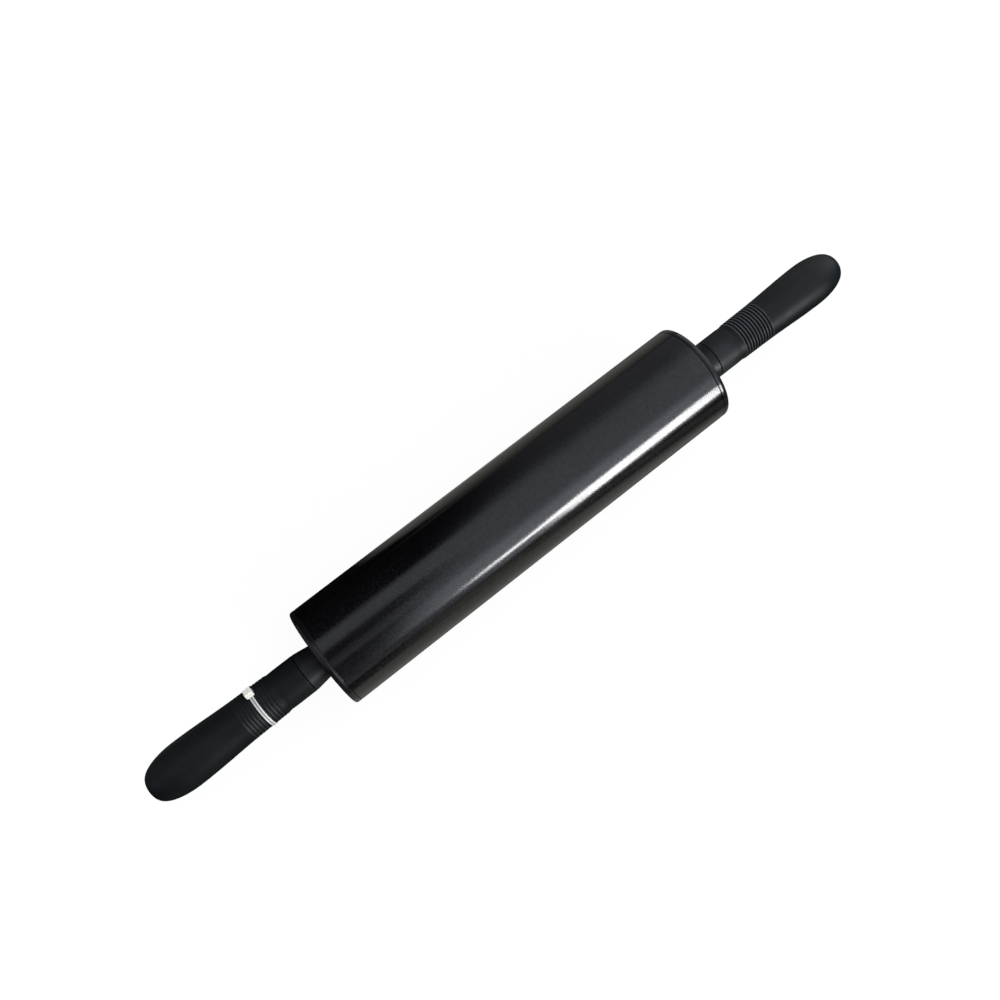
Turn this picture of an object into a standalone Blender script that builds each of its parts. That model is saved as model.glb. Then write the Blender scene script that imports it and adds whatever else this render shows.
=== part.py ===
"""A non-stick rolling pin: a coated steel barrel on ball bearings, turning about a fixed axle with a grip at each end."""

import math

import bmesh
import bpy
from mathutils import Matrix, Vector

# Barrel. Lengths are in metres and the pin lies along X, with its middle at the origin.
BARREL_LENGTH = 0.2500
BARREL_RADIUS = 0.02875
TUBE_WALL = 0.0012
TUBE_EDGE = 0.0003
BARREL_SIDES = 36

# Clearances between pieces that seat on each other, and between the collar and the grip that it turns beside.
FIT_GAP = 0.0003
RUN_GAP = 0.0004
BORE_GAP = 0.0010

# End caps
RIM_WIDTH = 0.0032
RIM_FILLET = 0.0014
RIM_LIP = 0.0026
SKIRT_WALL = 0.0018
SKIRT_LENGTH = 0.0090
WEB_RECESS = 0.0016
WEB_THICKNESS = 0.0026
WEB_SLOPE = 0.0011
HUB_FILLET = 0.0021
BOSS_WALL = 0.0018
HUB_RADIUS = 0.0093
COLLAR_RADIUS = 0.0110
COLLAR_LENGTH = 0.0114
COLLAR_EDGE = 0.0002
COLLAR_FLARE = 0.85
SEAT_RELIEF = 0.0010

# Axle
AXLE_RADIUS = 0.0040
THREAD_RADIUS = 0.0030
ROD_CHAMFER = 0.0008
ROD_PAST_INSERT = 0.0020
CLIP_SHOULDER = 0.0007
AXLE_SIDES = 16

# Bearings
BEARING_INSET = 0.0075
BEARING_WIDTH = 0.0070
BALL_RADIUS = 0.00198
BALL_COUNT = 7
INNER_RACE_WALL = 0.0009
OUTER_RACE_WALL = 0.0012
LAND_REACH = 0.0014
CAGE_THICKNESS = 0.0014
CAGE_BRIDGE = 0.0005
RACE_SIDES = 24
TRACK_STEPS = 3

# Spring rings that hold the bearings, in the boss and on the axle
RETAINER_THICKNESS = 0.0010
RETAINER_DEPTH = 0.0009
RETAINER_BAND = 0.0016
RETAINER_LUG = 0.0026
RETAINER_EYE = 0.0005
RETAINER_LIP = 0.0012
RETAINER_GAP_DEG = 34.0
CLIP_THICKNESS = 0.0008
CLIP_BAND = 0.0023
CLIP_GAP_DEG = 70.0

# Sleeve between bearing and grip
SLEEVE_WALL = 0.0017

# Grips
GRIP_LENGTH = 0.0932
GRIP_EDGE = 0.0003
NECK_RADIUS = 0.0110
NECK_LENGTH = 0.0122
WAIST_RADIUS = 0.01085
WAIST_SETBACK = 0.0162
RING_SETBACK = 0.0188
RING_PITCH = 0.0019
RING_COUNT = 10
RING_WIDTH = 0.0008
RING_DEPTH = 0.0007
RING_FRONT_RADIUS = 0.0113
RING_BACK_RADIUS = 0.0116
BULB_RADIUS = 0.01285
BULB_SETBACK = 0.0722
BULB_SWELL = 1.4
BULB_STEPS = 5
NOSE_STEPS = 6
NOSE_FALL = 1.9
NOSE_BLUNT = 3.3
GRIP_SIDES = 24

# Brass inserts moulded into the grips
INSERT_RADIUS = 0.0055
INSERT_LENGTH = 0.0160
INSERT_SETBACK = 0.0323
INSERT_SIDES = 16

# Cable tie on the left grip
TIE_SETBACK = 0.02645
TIE_WIDTH = 0.0022
TIE_THICKNESS = 0.0008
TIE_HEAD_LENGTH = 0.0045
TIE_HEAD_WIDTH = 0.0044
TIE_HEAD_HEIGHT = 0.0031
TIE_HEAD_EDGE = 0.0004
TIE_HEAD_DEG = 33.5
TIE_TAIL = 0.0004

# Edges that turn more than this stay sharp in the shading.
SHARP_ANGLE = math.radians(35)

# Places along the axle, measured outwards from the barrel's middle
barrel_end = BARREL_LENGTH / 2
tube_end = barrel_end - RIM_WIDTH - FIT_GAP
rim_start = barrel_end - RIM_WIDTH
collar_end = barrel_end + COLLAR_LENGTH
grip_front = collar_end + RUN_GAP
grip_tip = grip_front + GRIP_LENGTH
bearing_out = barrel_end - BEARING_INSET
bearing_in = bearing_out - BEARING_WIDTH
bearing_mid = (bearing_out + bearing_in) / 2
insert_in = grip_front + INSERT_SETBACK
insert_out = insert_in + INSERT_LENGTH
rod_end = insert_out + ROD_PAST_INSERT

# Radii that follow from what fits inside what
tube_bore = BARREL_RADIUS - TUBE_WALL
skirt_radius = tube_bore - FIT_GAP
race_bore = AXLE_RADIUS + FIT_GAP
pitch_radius = race_bore + INNER_RACE_WALL + FIT_GAP + BALL_RADIUS
track_radius = BALL_RADIUS + FIT_GAP
inner_land = pitch_radius - LAND_REACH
outer_land = pitch_radius + LAND_REACH
race_radius = pitch_radius + track_radius + OUTER_RACE_WALL
pocket_radius = race_radius + FIT_GAP
retainer_groove = pocket_radius + RETAINER_DEPTH
boss_radius = retainer_groove + BOSS_WALL
sleeve_radius = race_bore + SLEEVE_WALL
collar_bore = sleeve_radius + BORE_GAP
clip_groove = AXLE_RADIUS - CLIP_SHOULDER


def clear_scene():
    for obj in list(bpy.data.objects):
        bpy.data.objects.remove(obj, do_unlink=True)


def new_collection(name, hidden=False):
    collection = bpy.data.collections.new(name)
    bpy.context.scene.collection.children.link(collection)
    collection.hide_render = hidden
    return collection


def material(name, colour, roughness, metallic=0.0):
    made = bpy.data.materials.new(name)
    made.use_nodes = True
    shader = made.node_tree.nodes["Principled BSDF"]
    shader.inputs["Base Color"].default_value = (*colour, 1.0)
    shader.inputs["Roughness"].default_value = roughness
    shader.inputs["Metallic"].default_value = metallic
    made.diffuse_color = (*colour, 1.0)
    return made


def axis_empty(name, along=0.0):
    """An empty on the pin's axis, which what turns about that axis is parented to."""
    empty = bpy.data.objects.new(name, None)
    empty.empty_display_size = 0.02
    empty.location = (along, 0.0, 0.0)
    collection_parts.objects.link(empty)
    return empty


def place(obj, parent, side, along=0.0, spin=0.0):
    """Lays local Z along the pin, pointing to its right end for side 1 and to its left end for side -1.

    Local X points down, and spin turns the piece about its own Z first.
    """
    across = Vector((0.0, side, 0.0))
    down = Vector((0.0, 0.0, -1.0))
    local_x = down * math.cos(spin) + across * math.sin(spin)
    local_y = across * math.cos(spin) - down * math.sin(spin)
    local_z = Vector((side, 0.0, 0.0))
    obj.rotation_mode = "QUATERNION"
    obj.rotation_quaternion = Matrix((local_x, local_y, local_z)).transposed().to_quaternion()
    obj.parent = parent
    obj.location = Vector((side * along, 0.0, 0.0)) - parent.location


def settle(obj):
    """Turns an object's modifiers into plain mesh, smooth but for its sharp edges."""
    graph = bpy.context.evaluated_depsgraph_get()
    mesh = bpy.data.meshes.new_from_object(obj.evaluated_get(graph))
    obj.modifiers.clear()
    obj.data = mesh
    mesh.name = obj.name
    mesh.shade_smooth()
    mesh.set_sharp_from_angle(angle=SHARP_ANGLE)


def turned(name, profile, sides, surface, closed=True):
    """A solid of revolution about local Z, from (radius, height) points that run down its outer side.

    The first corner stands half a side off local X, so that a flat lies underneath.
    """
    half = math.pi / sides
    mesh = bpy.data.meshes.new(name)
    points = [(r * math.cos(half), r * math.sin(half), z) for r, z in profile]
    edges = [(i, i + 1) for i in range(len(points) - 1)]
    if closed:
        edges.append((len(points) - 1, 0))
    mesh.from_pydata(points, edges, [])
    obj = bpy.data.objects.new(name, mesh)
    collection_parts.objects.link(obj)
    screw = obj.modifiers.new("turn", "SCREW")
    screw.axis = "Z"
    screw.angle = math.tau
    screw.steps = sides
    screw.render_steps = sides
    screw.use_merge_vertices = True
    screw.merge_threshold = 0.000002
    mesh.materials.append(surface)
    settle(obj)
    return obj


def arc(radius, start_deg, end_deg, steps):
    """Points of a circle about the origin, from one angle to the other."""
    turn = (math.radians(end_deg) - math.radians(start_deg)) / steps
    first = math.radians(start_deg)
    return [(radius * math.cos(first + i * turn), radius * math.sin(first + i * turn)) for i in range(steps + 1)]


def spring_ring(name, inner, outer, gap_deg, thickness, surface, lug=0.0, eye=0.0):
    """An open ring cut from sheet, with a lug and an eye at each end where the ring has them."""
    half_gap = gap_deg / 2
    lug_deg = math.degrees(2 * lug / outer)
    outline = arc(outer, half_gap, 360 - half_gap, 20)
    if lug:
        outline += arc(outer - lug, 360 - half_gap, 360 - half_gap - lug_deg, 2)
        outline += arc(inner, 360 - half_gap - lug_deg - 3, half_gap + lug_deg + 3, 16)
        outline += arc(outer - lug, half_gap + lug_deg, half_gap, 2)
    else:
        outline += arc(inner, 360 - half_gap, half_gap, 16)
    loops = [outline]
    if eye:
        centre = outer - lug / 2
        for side in (1, -1):
            angle = math.radians(side * (half_gap + lug_deg / 2))
            middle = (centre * math.cos(angle), centre * math.sin(angle))
            loops.append([(middle[0] + x, middle[1] + y) for x, y in arc(eye, 0, 360, 8)[:-1]])
    curve = bpy.data.curves.new(name, "CURVE")
    curve.dimensions = "2D"
    curve.fill_mode = "BOTH"
    curve.extrude = thickness / 2
    for loop in loops:
        spline = curve.splines.new("POLY")
        spline.points.add(len(loop) - 1)
        for point, (x, y) in zip(spline.points, loop):
            point.co = (x, y, 0.0, 1.0)
        spline.use_cyclic_u = True
    obj = bpy.data.objects.new(name, curve)
    collection_parts.objects.link(obj)
    curve.materials.append(surface)
    return obj


def hidden_cutter(obj):
    obj.hide_render = True
    obj.display_type = "WIRE"
    for owner in list(obj.users_collection):
        owner.objects.unlink(obj)
    collection_cutters.objects.link(obj)
    return obj


def boolean(obj, other, operation):
    modifier = obj.modifiers.new(operation.lower(), "BOOLEAN")
    modifier.operation = operation
    modifier.solver = "EXACT"
    modifier.object = other


def hub_radius(out):
    """Outside radius of the cap's collar, at a distance out from the barrel's end."""
    return HUB_RADIUS + (COLLAR_RADIUS - HUB_RADIUS) * (out / COLLAR_LENGTH) ** COLLAR_FLARE


def tube_profile():
    half = tube_end
    edge = TUBE_EDGE
    return [
        (tube_bore, half),
        (BARREL_RADIUS - edge, half),
        (BARREL_RADIUS, half - edge),
        (BARREL_RADIUS, -half + edge),
        (BARREL_RADIUS - edge, -half),
        (tube_bore, -half),
    ]


def cap_profile():
    """From the collar's mouth over the flare, the recessed web and the rim, then back through the skirt and boss."""
    web_out = barrel_end - WEB_RECESS
    web_in = web_out - WEB_THICKNESS
    lip_radius = BARREL_RADIUS - RIM_LIP
    seat = bearing_out + FIT_GAP
    groove_out = bearing_in
    groove_in = bearing_in - RETAINER_THICKNESS - 2 * FIT_GAP
    boss_end = groove_in - RETAINER_LIP
    skirt_end = rim_start - SKIRT_LENGTH
    fillet = RIM_FILLET * (1 - math.sqrt(0.5))
    flare = [COLLAR_LENGTH * share for share in (0.70, 0.36, 0.0)]
    points = [(collar_bore, collar_end), (COLLAR_RADIUS - COLLAR_EDGE, collar_end)]
    points.append((COLLAR_RADIUS, collar_end - COLLAR_EDGE))
    points += [(hub_radius(out), barrel_end + out) for out in flare]
    points += [
        (HUB_RADIUS + HUB_FILLET, web_out),
        (lip_radius - WEB_SLOPE, web_out),
        (lip_radius, barrel_end),
        (BARREL_RADIUS - RIM_FILLET, barrel_end),
        (BARREL_RADIUS - fillet, barrel_end - fillet),
        (BARREL_RADIUS, barrel_end - RIM_FILLET),
        (BARREL_RADIUS, rim_start + TUBE_EDGE),
        (BARREL_RADIUS - TUBE_EDGE, rim_start),
        (skirt_radius, rim_start),
        (skirt_radius, skirt_end),
        (skirt_radius - SKIRT_WALL, skirt_end),
        (skirt_radius - SKIRT_WALL, web_in),
        (boss_radius, web_in),
        (boss_radius, boss_end),
        (pocket_radius, boss_end),
        (pocket_radius, groove_in),
        (retainer_groove, groove_in),
        (retainer_groove, groove_out),
        (pocket_radius, groove_out),
        (pocket_radius, seat),
        (outer_land + FIT_GAP, seat),
        (collar_bore, seat + SEAT_RELIEF),
    ]
    return points


def track(start_deg, end_deg):
    """The ball's track in a race's section, about the ball's centre."""
    return [(pitch_radius + x, y) for x, y in arc(track_radius, start_deg, end_deg, TRACK_STEPS)]


def track_reach_deg():
    """How far to each side of straight up or down the track's arc stays inside the land."""
    return math.degrees(math.acos(LAND_REACH / track_radius))


def outer_race_profile():
    half = BEARING_WIDTH / 2
    reach = track_reach_deg()
    points = [(outer_land, half), (race_radius, half), (race_radius, -half), (outer_land, -half)]
    return points + track(-reach, reach)


def inner_race_profile():
    half = BEARING_WIDTH / 2
    reach = track_reach_deg()
    points = [(race_bore, half), (inner_land, half)]
    points += track(180 - reach, 180 + reach)
    return points + [(inner_land, -half), (race_bore, -half)]


def axle_profile():
    """Half of the rod from its threaded end to the middle, and the same again to the other end."""
    shoulder = insert_in - FIT_GAP
    groove_out = bearing_in
    groove_in = bearing_in - CLIP_THICKNESS - 2 * FIT_GAP
    half = [
        (0.0, rod_end),
        (THREAD_RADIUS - ROD_CHAMFER, rod_end),
        (THREAD_RADIUS, rod_end - ROD_CHAMFER),
        (THREAD_RADIUS, shoulder),
        (AXLE_RADIUS, shoulder),
        (AXLE_RADIUS, groove_out),
        (clip_groove, groove_out),
        (clip_groove, groove_in),
        (AXLE_RADIUS, groove_in),
    ]
    return half + [(r, -z) for r, z in reversed(half)]


def ring_crest(back):
    """Radius over the grip's rings, at a distance back from its front face."""
    share = (back - RING_SETBACK) / (RING_PITCH * RING_COUNT)
    return RING_FRONT_RADIUS + (RING_BACK_RADIUS - RING_FRONT_RADIUS) * share


def grip_outside():
    """(radius, distance back from the front face), from the front face to the nose."""
    points = [(NECK_RADIUS - GRIP_EDGE, 0.0), (NECK_RADIUS, GRIP_EDGE), (NECK_RADIUS, NECK_LENGTH)]
    points.append((WAIST_RADIUS, WAIST_SETBACK))
    for i in range(RING_COUNT):
        middle = RING_SETBACK + i * RING_PITCH
        crest = ring_crest(middle)
        points.append((crest, middle - RING_WIDTH / 2))
        points.append((crest - RING_DEPTH, middle))
        points.append((crest, middle + RING_WIDTH / 2))
    ring_back = RING_SETBACK + RING_COUNT * RING_PITCH - RING_PITCH / 2
    for i in range(BULB_STEPS + 1):
        share = i / BULB_STEPS
        swell = math.sin(share * math.pi / 2) ** BULB_SWELL
        radius = RING_BACK_RADIUS + (BULB_RADIUS - RING_BACK_RADIUS) * swell
        points.append((radius, ring_back + (BULB_SETBACK - ring_back) * share))
    for i in range(1, NOSE_STEPS):
        share = math.sin(i / NOSE_STEPS * math.pi / 2)
        radius = BULB_RADIUS * (1 - share**NOSE_FALL) ** (1 / NOSE_BLUNT)
        points.append((radius, BULB_SETBACK + (GRIP_LENGTH - BULB_SETBACK) * share))
    points.append((0.0, GRIP_LENGTH))
    return points


def grip_profile():
    """The whole section: from the nose down the outside to the front face, then back in through the bore."""
    pocket = INSERT_RADIUS + FIT_GAP
    thread_bore = THREAD_RADIUS + FIT_GAP
    outside = [(r, grip_front + back) for r, back in reversed(grip_outside())]
    inside = [
        (race_bore, grip_front),
        (race_bore, insert_in - FIT_GAP),
        (pocket, insert_in - FIT_GAP),
        (pocket, insert_out + FIT_GAP),
        (thread_bore, insert_out + FIT_GAP),
        (thread_bore, rod_end + FIT_GAP),
        (0.0, rod_end + FIT_GAP),
    ]
    return outside + inside


def ball_mesh():
    mesh = bpy.data.meshes.new("ball")
    form = bmesh.new()
    bmesh.ops.create_uvsphere(form, u_segments=8, v_segments=6, radius=BALL_RADIUS)
    form.to_mesh(mesh)
    form.free()
    return mesh


def pocket_cutter(name):
    """Round bars standing out from the axis like spokes, one through each ball's place in the cage."""
    mesh = bpy.data.meshes.new(name)
    form = bmesh.new()
    length = 4 * CAGE_THICKNESS
    for i in range(BALL_COUNT):
        made = bmesh.ops.create_cone(
            form,
            cap_ends=True,
            segments=8,
            radius1=track_radius,
            radius2=track_radius,
            depth=length,
        )
        angle = math.tau * i / BALL_COUNT
        for vert in made["verts"]:
            x, y, z = vert.co
            out = z + pitch_radius
            vert.co = (
                out * math.cos(angle) - y * math.sin(angle),
                out * math.sin(angle) + y * math.cos(angle),
                -x,
            )
    form.to_mesh(mesh)
    form.free()
    obj = bpy.data.objects.new(name, mesh)
    collection_parts.objects.link(obj)
    return hidden_cutter(obj)


def block(name, size, centre, edge):
    """A block with its edges rounded, in local coordinates."""
    mesh = bpy.data.meshes.new(name)
    form = bmesh.new()
    bmesh.ops.create_cube(form, size=1.0)
    for vert in form.verts:
        vert.co = (
            centre[0] + vert.co.x * size[0],
            centre[1] + vert.co.y * size[1],
            centre[2] + vert.co.z * size[2],
        )
    bmesh.ops.bevel(form, geom=form.edges, offset=edge, segments=1, affect="EDGES")
    bmesh.ops.recalc_face_normals(form, faces=form.faces)
    form.to_mesh(mesh)
    form.free()
    obj = bpy.data.objects.new(name, mesh)
    collection_parts.objects.link(obj)
    return hidden_cutter(obj)


def build_barrel():
    tube = turned("barrel_tube", tube_profile(), BARREL_SIDES, nonstick)
    place(tube, roller_axis, 1)
    for name, side in SIDES:
        cap = turned(f"{name}_end_cap", cap_profile(), BARREL_SIDES, cap_plastic)
        place(cap, roller_axis, side)


def build_bearing(name, side, cage_axis):
    outer = turned(f"{name}_bearing_outer_race", outer_race_profile(), RACE_SIDES, bearing_steel)
    place(outer, roller_axis, side, bearing_mid)
    inner = turned(f"{name}_bearing_inner_race", inner_race_profile(), RACE_SIDES, bearing_steel)
    place(inner, axle_frame, side, bearing_mid)
    cage_half = track_radius + CAGE_BRIDGE
    inside = pitch_radius - CAGE_THICKNESS / 2
    outside = pitch_radius + CAGE_THICKNESS / 2
    section = [(inside, cage_half), (outside, cage_half), (outside, -cage_half), (inside, -cage_half)]
    cage = turned(f"{name}_ball_cage", section, 2 * BALL_COUNT, cage_plastic)
    place(cage, cage_axis, side, bearing_mid)
    cutter = pocket_cutter(f"{name}_cage_pockets")
    place(cutter, cage_axis, side, bearing_mid)
    boolean(cage, cutter, "DIFFERENCE")
    for i in range(BALL_COUNT):
        ball = bpy.data.objects.new(f"{name}_ball_{i + 1}", shared_ball)
        collection_parts.objects.link(ball)
        place(ball, cage_axis, side, bearing_mid)
        angle = math.tau * i / BALL_COUNT
        out = ball.rotation_quaternion @ Vector((math.cos(angle), math.sin(angle), 0.0))
        ball.location += out * pitch_radius


def build_retainers(name, side):
    outer = retainer_groove - FIT_GAP
    retainer = spring_ring(
        f"{name}_bearing_retainer",
        outer - RETAINER_BAND,
        outer,
        RETAINER_GAP_DEG,
        RETAINER_THICKNESS,
        spring_steel,
        RETAINER_LUG,
        RETAINER_EYE,
    )
    place(retainer, roller_axis, side, bearing_in - FIT_GAP - RETAINER_THICKNESS / 2)
    inner = clip_groove + FIT_GAP
    clip = spring_ring(
        f"{name}_axle_clip",
        inner,
        inner + CLIP_BAND,
        CLIP_GAP_DEG,
        CLIP_THICKNESS,
        spring_steel,
    )
    place(clip, axle_frame, side, bearing_in - FIT_GAP - CLIP_THICKNESS / 2)


def build_handle(name, side):
    sleeve_in = bearing_out + FIT_GAP
    sleeve_out = grip_front - FIT_GAP
    section = [(race_bore, sleeve_out), (sleeve_radius, sleeve_out), (sleeve_radius, sleeve_in), (race_bore, sleeve_in)]
    sleeve = turned(f"{name}_spacer_sleeve", section, AXLE_SIDES, sleeve_plastic)
    place(sleeve, axle_frame, side)
    bore = THREAD_RADIUS + FIT_GAP
    section = [(bore, insert_out), (INSERT_RADIUS, insert_out), (INSERT_RADIUS, insert_in), (bore, insert_in)]
    insert = turned(f"{name}_threaded_insert", section, INSERT_SIDES, insert_brass)
    place(insert, axle_frame, side)
    grip = turned(f"{name}_grip", grip_profile(), GRIP_SIDES, grip_plastic, closed=False)
    place(grip, axle_frame, side)


def build_tie():
    """The strap runs round the left grip's rings and up through the head, where its tail is cut short."""
    inside = ring_crest(TIE_SETBACK) + FIT_GAP
    outside = inside + TIE_THICKNESS
    middle = grip_front + TIE_SETBACK
    half = TIE_WIDTH / 2
    section = [(inside, half), (outside, half), (outside, -half), (inside, -half)]
    tie = turned("cable_tie", section, GRIP_SIDES, tie_nylon)
    spin = math.radians(TIE_HEAD_DEG)
    place(tie, axle_frame, -1, middle)
    head_middle = outside + (TIE_HEAD_HEIGHT - TIE_THICKNESS) / 2
    head = block(
        "tie_head",
        (TIE_HEAD_HEIGHT, TIE_HEAD_WIDTH, TIE_HEAD_LENGTH),
        (-head_middle, 0.0, 0.0),
        TIE_HEAD_EDGE,
    )
    place(head, axle_frame, -1, middle, spin)
    tail_length = TIE_HEAD_HEIGHT / 2 + TIE_TAIL
    tail = block(
        "tie_tail",
        (tail_length, TIE_THICKNESS, TIE_WIDTH),
        (-(head_middle + tail_length / 2), 0.0, 0.0),
        TIE_THICKNESS / 10,
    )
    place(tail, axle_frame, -1, middle, spin)
    boolean(tie, head, "UNION")
    boolean(tie, tail, "UNION")


clear_scene()
collection_parts = new_collection("rolling_pin")
collection_cutters = new_collection("cutters", hidden=True)

nonstick = material("nonstick_coating", (0.012, 0.012, 0.013), 0.30)
cap_plastic = material("cap_plastic", (0.010, 0.010, 0.011), 0.22)
grip_plastic = material("grip_plastic", (0.020, 0.021, 0.023), 0.55)
tie_nylon = material("tie_nylon", (0.78, 0.76, 0.71), 0.45)
bearing_steel = material("bearing_steel", (0.56, 0.57, 0.58), 0.20, 1.0)
ball_steel = material("ball_steel", (0.60, 0.61, 0.62), 0.08, 1.0)
spring_steel = material("spring_steel", (0.30, 0.30, 0.31), 0.35, 1.0)
axle_steel = material("axle_steel", (0.50, 0.50, 0.51), 0.30, 1.0)
cage_plastic = material("cage_nylon", (0.70, 0.67, 0.58), 0.50)
sleeve_plastic = material("sleeve_nylon", (0.60, 0.60, 0.57), 0.50)
insert_brass = material("insert_brass", (0.72, 0.52, 0.22), 0.35, 1.0)

SIDES = (("left", -1), ("right", 1))
axle_frame = axis_empty("axle_frame")
roller_axis = axis_empty("roller_axis")

shared_ball = ball_mesh()
shared_ball.materials.append(ball_steel)
shared_ball.shade_smooth()

build_barrel()
axle = turned("axle_rod", axle_profile(), AXLE_SIDES, axle_steel, closed=False)
place(axle, axle_frame, 1)
for side_name, side_sign in SIDES:
    cage_axis = axis_empty(f"{side_name}_cage_axis", side_sign * bearing_mid)
    build_bearing(side_name, side_sign, cage_axis)
    build_retainers(side_name, side_sign)
    build_handle(side_name, side_sign)
build_tie()
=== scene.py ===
"""Looks for the non-stick rolling pin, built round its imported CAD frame. Lengths are in metres."""

import math

import bmesh
import bpy
from mathutils import Matrix, Vector


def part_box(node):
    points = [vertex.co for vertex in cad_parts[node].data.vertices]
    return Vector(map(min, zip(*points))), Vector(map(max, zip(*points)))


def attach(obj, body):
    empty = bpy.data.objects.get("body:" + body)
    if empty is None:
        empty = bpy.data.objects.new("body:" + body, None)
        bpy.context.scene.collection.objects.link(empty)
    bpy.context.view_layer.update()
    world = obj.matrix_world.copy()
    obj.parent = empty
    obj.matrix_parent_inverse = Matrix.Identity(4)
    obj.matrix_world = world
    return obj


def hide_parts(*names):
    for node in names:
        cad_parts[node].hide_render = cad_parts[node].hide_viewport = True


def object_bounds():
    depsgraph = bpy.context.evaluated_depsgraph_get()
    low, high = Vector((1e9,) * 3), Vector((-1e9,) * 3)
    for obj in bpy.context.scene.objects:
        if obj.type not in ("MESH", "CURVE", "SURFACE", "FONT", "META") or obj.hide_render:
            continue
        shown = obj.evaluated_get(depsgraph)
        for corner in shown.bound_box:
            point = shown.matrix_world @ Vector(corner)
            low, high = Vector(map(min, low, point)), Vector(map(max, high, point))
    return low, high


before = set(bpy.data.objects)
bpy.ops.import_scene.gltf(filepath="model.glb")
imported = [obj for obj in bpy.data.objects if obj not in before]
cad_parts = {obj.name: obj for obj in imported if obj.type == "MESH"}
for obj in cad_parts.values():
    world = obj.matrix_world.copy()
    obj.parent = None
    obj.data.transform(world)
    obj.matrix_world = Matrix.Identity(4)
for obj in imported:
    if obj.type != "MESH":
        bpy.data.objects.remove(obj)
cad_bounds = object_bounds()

MM = 0.001

# Places and sizes that the CAD nodes give
tube_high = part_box("barrel_tube")[1]
cap_low, cap_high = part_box("right_end_cap")
grip_low, grip_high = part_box("right_grip")
sleeve_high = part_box("right_spacer_sleeve")[1]
race_low, race_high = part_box("right_bearing_outer_race")
tie_low, tie_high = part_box("cable_tie")
tube_end = tube_high.x
barrel_radius = tube_high.z
floor_height = cad_bounds[0].z

# Barrel: half its length over the caps, and its tube
BARREL_END = 125.0 * MM
TUBE_WALL = 1.2 * MM
TUBE_EDGE = 0.30 * MM
TUBE_INNER_EDGE = 0.15 * MM
BARREL_SIDES = 224

# Caps
RIM_START = 121.8 * MM
RIM_FALL = 0.08 * MM
RIM_TOP = 2.0 * MM
RIM_WIDTH = 2.6 * MM
DISH_DEPTH = 1.6 * MM
DISH_EDGE = 3.7 * MM
SKIRT_CLEARANCE = 0.3 * MM
SKIRT_LENGTH = 9.0 * MM
SKIRT_WALL = 1.8 * MM
WEB_BACK = 4.2 * MM
BOSS_WALL = 3.0 * MM
POCKET_CLEARANCE = 0.35 * MM
SEAT_CLEARANCE = 0.3 * MM
SEAT_WIDTH = 2.2 * MM
SEAT_CHAMFER = 1.0 * MM
SLEEVE_CLEARANCE = 1.0 * MM
RETAINER_GROOVE_DEPTH = 0.9 * MM
RETAINER_GROOVE_WIDTH = 1.6 * MM
COLLAR_RADIUS = 11.0 * MM
COLLAR_FLARE = 0.85
COLLAR_STEPS = 9
COLLAR_REACH = 0.94
HUB_RADIUS = 9.3 * MM
COLLAR_LENGTH = cap_high.x - BARREL_END
CAP_SIDES = 160

# Grips, with places as distances out from the barrel's end
NECK_RADIUS = 11.0 * MM
NECK_EDGE = 0.28 * MM
NECK_END = 24 * MM
WAIST_RADIUS = 10.85 * MM
WAIST_PLACE = 28 * MM
RING_START = 30.6 * MM
RING_PITCH = 1.9 * MM
RING_COUNT = 10
RING_DEPTH = 0.44 * MM
RING_WEAR = 0.28
RING_GROOVE = 0.30 * MM
RING_CROWN = 0.3
RINGS_START = RING_START - 0.5 * RING_PITCH
RINGS_END = RINGS_START + RING_COUNT * RING_PITCH
RING_FRONT_RADIUS = 11.3 * MM
RING_BACK_RADIUS = 11.6 * MM
BULB_RADIUS = 12.85 * MM
BULB_PLACE = 84.0 * MM
BULB_SWELL = 1.4
NOSE_FULLNESS = 1.9
NOSE_ROUNDNESS = 3.3
GRIP_BORE = 4.3 * MM
GRIP_BORE_END = 62 * MM
GRIP_SIDES = 128

# Cable tie: its strap, its head, the slot through the head and the cut end in the slot
TIE_WIDTH = 2.2 * MM
TIE_THICKNESS = 0.62 * MM
TIE_SINK = 0.24 * MM
TIE_TEETH = 84
TIE_TOOTH_DEPTHS = (0.16 * MM, 0.14 * MM, 0.12 * MM, 0.10 * MM)
TIE_CHANNEL = 0.42 * MM
TIE_LEDGE = 0.12 * MM
TIE_ANGLE = math.radians(33.5)
HEAD_SIZE = (4.45 * MM, 4.3 * MM, 3.4 * MM)
HEAD_TAPER = 0.95
HEAD_EDGE = 0.45 * MM
HEAD_SINK = 0.30 * MM
SLOT_SIZE = (2.30 * MM, 0.76 * MM, 1.2 * MM)
END_SIZE = (2.27 * MM, 0.73 * MM, 1.3 * MM)
END_EDGE = 0.05 * MM
END_SINK = 0.64 * MM


# Geometry

def link(obj):
    bpy.context.scene.collection.objects.link(obj)
    return obj


def smooth(obj, angle=32, even=True):
    """Smooth shading with sharp edges kept and, unless even is off, flats kept flat by weighted normals."""
    obj.data.shade_smooth()
    obj.data.set_sharp_from_angle(angle=math.radians(angle))
    if even:
        weighted = obj.modifiers.new("even_normals", "WEIGHTED_NORMAL")
        weighted.keep_sharp = True
    return obj


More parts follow.
